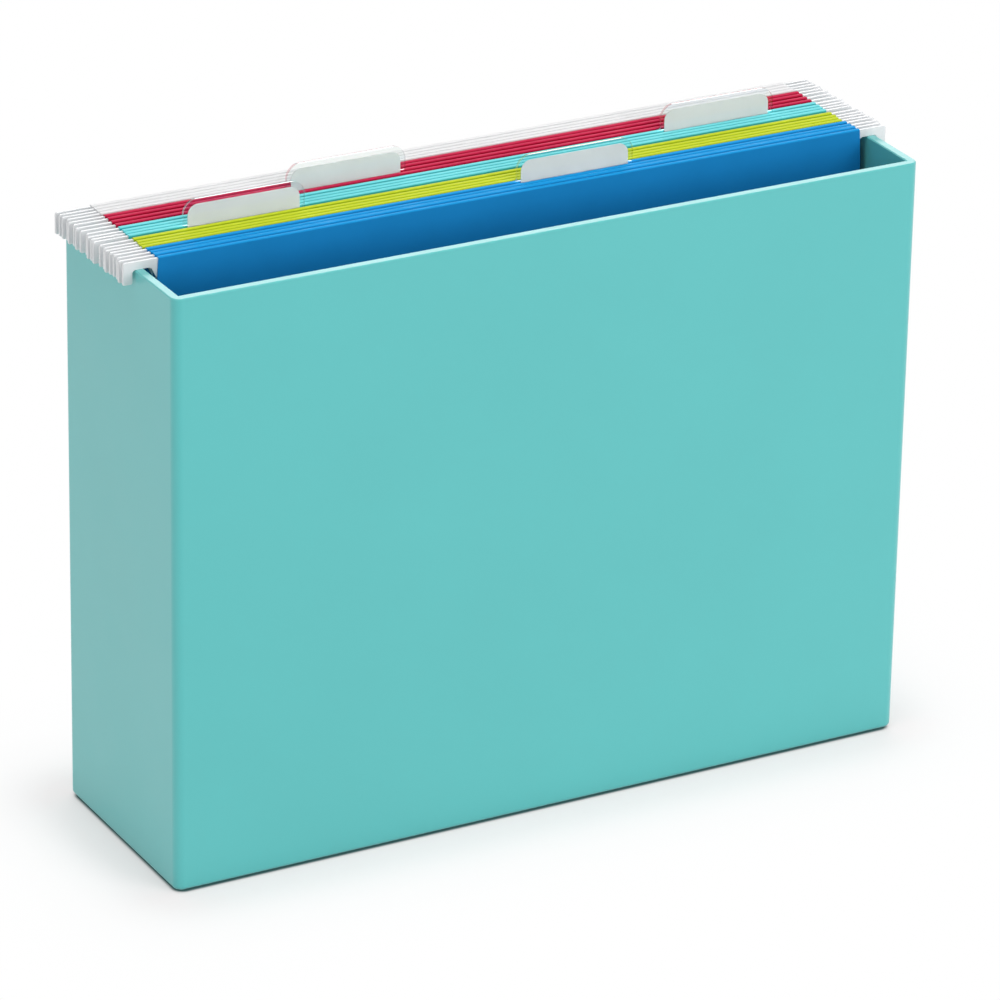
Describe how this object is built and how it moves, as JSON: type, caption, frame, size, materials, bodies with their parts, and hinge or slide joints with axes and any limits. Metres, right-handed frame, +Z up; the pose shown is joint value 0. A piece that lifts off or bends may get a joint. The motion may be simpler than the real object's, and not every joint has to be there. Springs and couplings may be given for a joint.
{
  "type": "hanging file box",
  "caption": "Narrow open-topped desk file box with hooked hanging folders that lift out and clear index tabs.",
  "frame": {"origin": "on the desk under the middle of the box", "axes": "+X along the width to the right, +Y to the back, +Z up"},
  "size_m": [0.3308, 0.096, 0.2584],
  "materials": {
    "shell_plastic": "satin",
    "pad_rubber": "matte",
    "rail_plastic": "satin",
    "tab_film": "clear film",
    "label_card": "matte",
    "card_blue": "matte",
    "card_lime": "matte",
    "card_aqua": "matte",
    "card_red": "matte",
    "card_white": "matte"
  },
  "bodies": {
    "box": {"box_shell": "shell_plastic", "foot_pads": "pad_rubber"},
    "blue_2_rear_rail": {"rail_blue_2_rear": "rail_plastic"},
    "blue_2_rear_leaf": {"leaf_blue_2_rear": "card_blue"},
    "blue_2_front_leaf": {"leaf_blue_2_front": "card_blue", "rail_blue_2_front": "rail_plastic"},
    "folder_blue_1": {"sheet_blue_1": "card_blue", "rail_blue_1_front": "rail_plastic", "rail_blue_1_rear": "rail_plastic"},
    "folder_lime_2": {"sheet_lime_2": "card_lime", "rail_lime_2_front": "rail_plastic", "rail_lime_2_rear": "rail_plastic"},
    "folder_lime_1": {"sheet_lime_1": "card_lime", "rail_lime_1_front": "rail_plastic", "rail_lime_1_rear": "rail_plastic"},
    "folder_aqua_2": {"sheet_aqua_2": "card_aqua", "rail_aqua_2_front": "rail_plastic", "rail_aqua_2_rear": "rail_plastic"},
    "folder_aqua_1": {"sheet_aqua_1": "card_aqua", "rail_aqua_1_front": "rail_plastic", "rail_aqua_1_rear": "rail_plastic"},
    "folder_red_2": {"sheet_red_2": "card_red", "rail_red_2_front": "rail_plastic", "rail_red_2_rear": "rail_plastic"},
    "folder_red_1": {"sheet_red_1": "card_red", "rail_red_1_front": "rail_plastic", "rail_red_1_rear": "rail_plastic"},
    "folder_white_2": {"sheet_white_2": "card_white", "rail_white_2_front": "rail_plastic", "rail_white_2_rear": "rail_plastic"},
    "folder_white_1": {"sheet_white_1": "card_white", "rail_white_1_front": "rail_plastic", "rail_white_1_rear": "rail_plastic"},
    "index_blue_1": {"tab_blue_1": "tab_film", "label_blue_1": "label_card"},
    "index_lime_1": {"tab_lime_1": "tab_film", "label_lime_1": "label_card"},
    "index_aqua_1": {"tab_aqua_1": "tab_film", "label_aqua_1": "label_card"},
    "index_red_2": {"tab_red_2": "tab_film", "label_red_2": "label_card"}
  },
  "joints": [
    {"name": "lift_blue_2", "type": "slide", "parent": "box", "child": "blue_2_rear_rail", "axis": [0, 0, 1], "range_m": [0, 0.26]},
    {"name": "swing_blue_2", "type": "hinge", "parent": "blue_2_rear_rail", "child": "blue_2_rear_leaf", "pos_m": [0, -0.0115, 0.24715], "axis": [-1, 0, 0], "range_deg": [0, 3.2]},
    {"name": "open_blue_2", "type": "hinge", "parent": "blue_2_rear_leaf", "child": "blue_2_front_leaf", "pos_m": [0, -0.013, 0.01358], "axis": [1, 0, 0], "range_deg": [0, 6.4]},
    {"name": "lift_blue_1", "type": "slide", "parent": "box", "child": "folder_blue_1", "axis": [0, 0, 1], "range_m": [0, 0.26]},
    {"name": "lift_lime_2", "type": "slide", "parent": "box", "child": "folder_lime_2", "axis": [0, 0, 1], "range_m": [0, 0.26]},
    {"name": "lift_lime_1", "type": "slide", "parent": "box", "child": "folder_lime_1", "axis": [0, 0, 1], "range_m": [0, 0.26]},
    {"name": "lift_aqua_2", "type": "slide", "parent": "box", "child": "folder_aqua_2", "axis": [0, 0, 1], "range_m": [0, 0.26]},
    {"name": "lift_aqua_1", "type": "slide", "parent": "box", "child": "folder_aqua_1", "axis": [0, 0, 1], "range_m": [0, 0.26]},
    {"name": "lift_red_2", "type": "slide", "parent": "box", "child": "folder_red_2", "axis": [0, 0, 1], "range_m": [0, 0.26]},
    {"name": "lift_red_1", "type": "slide", "parent": "box", "child": "folder_red_1", "axis": [0, 0, 1], "range_m": [0, 0.26]},
    {"name": "lift_white_2", "type": "slide", "parent": "box", "child": "folder_white_2", "axis": [0, 0, 1], "range_m": [0, 0.26]},
    {"name": "lift_white_1", "type": "slide", "parent": "box", "child": "folder_white_1", "axis": [0, 0, 1], "range_m": [0, 0.26]},
    {"name": "pull_tab_blue_1", "type": "slide", "parent": "folder_blue_1", "child": "index_blue_1", "axis": [0, 0, 1], "range_m": [0, 0.015]},
    {"name": "pull_tab_lime_1", "type": "slide", "parent": "folder_lime_1", "child": "index_lime_1", "axis": [0, 0, 1], "range_m": [0, 0.015]},
    {"name": "pull_tab_aqua_1", "type": "slide", "parent": "folder_aqua_1", "child": "index_aqua_1", "axis": [0, 0, 1], "range_m": [0, 0.015]},
    {"name": "pull_tab_red_2", "type": "slide", "parent": "folder_red_2", "child": "index_red_2", "axis": [0, 0, 1], "range_m": [0, 0.015]}
  ],
  "couplings": [
    {"joint": "open_blue_2", "follows": "swing_blue_2", "ratio": 2}
  ]
}
